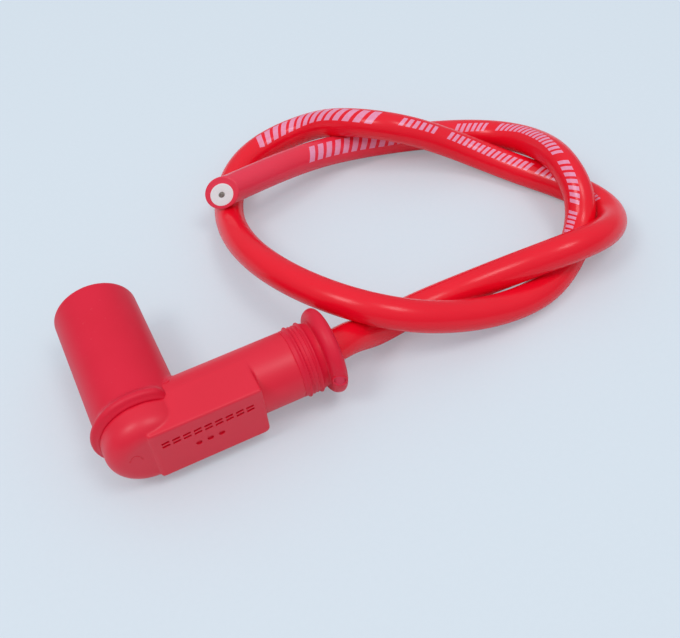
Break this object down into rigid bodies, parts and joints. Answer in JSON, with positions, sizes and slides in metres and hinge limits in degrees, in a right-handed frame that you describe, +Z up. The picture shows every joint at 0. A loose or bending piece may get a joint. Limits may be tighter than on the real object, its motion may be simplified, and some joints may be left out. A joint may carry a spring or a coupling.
{
  "type": "spark plug cap with ignition lead",
  "caption": "Right-angle rubber and moulded resistor cap that pushes onto a spark plug, with a red 7 mm ignition lead wound in a loose double loop",
  "frame": {"origin": "under the middle of the cap without its lead, on the surface that it lies on", "axes": "+X runs along the lead axis out of the cable seal, +Y along the plug axis out of the boot's open mouth, +Z up with the cap lying on its side"},
  "size_m": [0.1305, 0.0848, 0.0212],
  "materials": {
    "elbow_moulding": "semi-gloss red moulding",
    "boot_rubber": "satin red silicone rubber",
    "lead_silicone": "smooth glossy red silicone jacket",
    "brass": "turned brass",
    "spring_steel": "drawn spring wire",
    "resistor_ceramic": "fired white ceramic"
  },
  "bodies": {
    "root": {"elbow_body": "elbow_moulding", "plug_boot": "boot_rubber", "cable_seal": "boot_rubber", "plug_terminal": "brass", "terminal_clip": "spring_steel", "contact_spring": "spring_steel", "resistor_rod": "resistor_ceramic", "resistor_cap_inner": "brass", "resistor_cap_outer": "brass", "cable_screw": "brass", "ignition_lead": "lead_silicone"}
  },
  "joints": []
}
